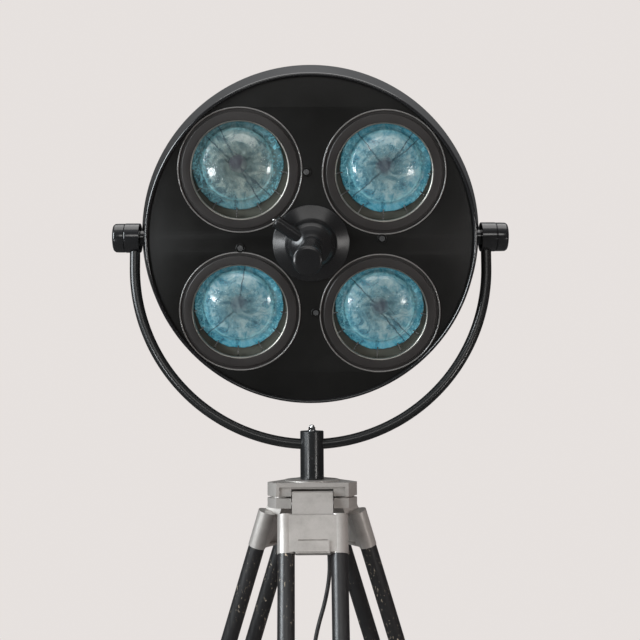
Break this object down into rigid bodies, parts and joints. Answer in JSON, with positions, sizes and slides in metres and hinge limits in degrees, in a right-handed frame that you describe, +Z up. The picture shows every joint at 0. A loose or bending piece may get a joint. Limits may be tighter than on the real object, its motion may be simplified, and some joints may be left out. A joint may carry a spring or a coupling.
{
  "type": "tripod floor lamp",
  "caption": "Black round lamp head with heat-glass lenses, tilting in a tubular yoke on a folding surveyor-pattern tripod with telescopic rail legs.",
  "frame": {"origin": "on the floor, at the bottom centre of the lamp's bounding box without its mains cord", "axes": "+Z up, the lamp faces -Y, +X to the right of someone looking at its face; the lamp and tripod axis stands at Y = +0.1072"},
  "size_m": [0.8064, 0.7014, 1.8546],
  "materials": {
    "gloss_black": "black stove enamel, glossy, lightly worn",
    "satin_black": "satin black enamel on the face plate and bezels",
    "heat_glass": "blue-green heat-absorbing pressed glass",
    "reflector_metal": "hammered bright reflector",
    "bright_steel": "plain machined steel",
    "dark_steel": "blackened steel",
    "chrome": "bright chrome plate",
    "brass": "turned bush",
    "lamp_glass": "clear lamp glass",
    "ceramic": "white ceramic",
    "cast_aluminium": "sand-cast aluminium, satin, handled",
    "lacquered_wood": "black lacquered ash, chipped at the edges",
    "iron_shoe": "worn cast shoe",
    "black_rubber": "black flexible cord and mouldings"
  },
  "bodies": {
    "tripod_head": {"head_plate": "cast_aluminium", "leg_spider": "cast_aluminium", "post_spigot": "cast_aluminium", "fixing_bolt": "dark_steel", "cable_gland": "black_rubber", "hinge_pins": "bright_steel", "cord_run": "black_rubber", "cord_coil": "black_rubber", "plug_body": "black_rubber", "plug_pins": "bright_steel"},
    "yoke": {"yoke_tube": "gloss_black", "pivot_barrels": "gloss_black", "pivot_caps": "gloss_black", "pivot_bushes": "brass", "post_tube": "gloss_black", "post_nut": "chrome", "post_washer": "chrome", "post_setscrew": "dark_steel"},
    "lamp_head": {"housing_shell": "gloss_black", "rim_ring": "gloss_black", "face_plate": "satin_black", "lens_bezels": "satin_black", "lens_glasses": "heat_glass", "glass_clips": "bright_steel", "reflectors": "reflector_metal", "lamp_brackets": "dark_steel", "lamp_sockets": "ceramic", "lamp_bulbs": "lamp_glass", "bulb_shields": "dark_steel", "face_screws": "dark_steel", "hub_base": "satin_black", "trunnion_pins": "bright_steel", "pivot_nuts": "bright_steel", "rear_cap": "gloss_black", "rear_cap_screws": "bright_steel", "terminal_block": "ceramic"},
    "focus_handle": {"hub_bell": "gloss_black", "handle_grip": "gloss_black", "handle_cap": "gloss_black", "focus_lever": "gloss_black", "lever_tip": "bright_steel", "focus_spindle": "bright_steel"},
    "leg_1": {"shoulder_1": "cast_aluminium", "rails_1": "lacquered_wood", "leg_clamp_1": "cast_aluminium"},
    "lower_leg_1": {"lower_leg_1": "lacquered_wood", "shoe_1": "iron_shoe"},
    "clamp_screw_1": {"clamp_screw_1": "bright_steel"},
    "leg_2": {"shoulder_2": "cast_aluminium", "rails_2": "lacquered_wood", "leg_clamp_2": "cast_aluminium"},
    "lower_leg_2": {"lower_leg_2": "lacquered_wood", "shoe_2": "iron_shoe"},
    "clamp_screw_2": {"clamp_screw_2": "bright_steel"},
    "leg_3": {"shoulder_3": "cast_aluminium", "rails_3": "lacquered_wood", "leg_clamp_3": "cast_aluminium"},
    "lower_leg_3": {"lower_leg_3": "lacquered_wood", "shoe_3": "iron_shoe"},
    "clamp_screw_3": {"clamp_screw_3": "bright_steel"}
  },
  "joints": [
    {"name": "yoke_swivel", "type": "hinge", "parent": "tripod_head", "child": "yoke", "pos_m": [0, 0.1072, 1.1915], "axis": [0, 0, 1], "range_deg": [-170, 170]},
    {"name": "head_tilt", "type": "hinge", "parent": "yoke", "child": "lamp_head", "pos_m": [0, 0.1072, 1.574], "axis": [1, 0, 0], "range_deg": [-110, 70]},
    {"name": "focus_turn", "type": "hinge", "parent": "lamp_head", "child": "focus_handle", "pos_m": [0, 0.10806, 1.57113], "axis": [0, -0.9583, -0.2857], "range_deg": [-50, 50]},
    {"name": "leg_1_fold", "type": "hinge", "parent": "tripod_head", "child": "leg_1", "pos_m": [0, 0.0652, 1.127], "axis": [1, 0, 0], "range_deg": [-10, 19]},
    {"name": "leg_1_extend", "type": "slide", "parent": "leg_1", "child": "lower_leg_1", "axis": [0, -0.328, -0.9447], "range_m": [-0.135, 0.38]},
    {"name": "clamp_screw_1_turn", "type": "hinge", "parent": "leg_1", "child": "clamp_screw_1", "pos_m": [0, -0.25935, 0.29757], "axis": [0, -0.9447, 0.328], "range_deg": [0, 270]},
    {"name": "leg_2_fold", "type": "hinge", "parent": "tripod_head", "child": "leg_2", "pos_m": [0.03637, 0.1282, 1.127], "axis": [-0.5, 0.866, 0], "range_deg": [-10, 19]},
    {"name": "leg_2_extend", "type": "slide", "parent": "leg_2", "child": "lower_leg_2", "axis": [0.2841, 0.164, -0.9447], "range_m": [-0.135, 0.38]},
    {"name": "clamp_screw_2_turn", "type": "hinge", "parent": "leg_2", "child": "clamp_screw_2", "pos_m": [0.31744, 0.29047, 0.29757], "axis": [0.8181, 0.4723, 0.328], "range_deg": [0, 270]},
    {"name": "leg_3_fold", "type": "hinge", "parent": "tripod_head", "child": "leg_3", "pos_m": [-0.03637, 0.1282, 1.127], "axis": [-0.5, -0.866, 0], "range_deg": [-10, 19]},
    {"name": "leg_3_extend", "type": "slide", "parent": "leg_3", "child": "lower_leg_3", "axis": [-0.2841, 0.164, -0.9447], "range_m": [-0.135, 0.38]},
    {"name": "clamp_screw_3_turn", "type": "hinge", "parent": "leg_3", "child": "clamp_screw_3", "pos_m": [-0.31744, 0.29047, 0.29757], "axis": [-0.8181, 0.4723, 0.328], "range_deg": [0, 270]}
  ]
}
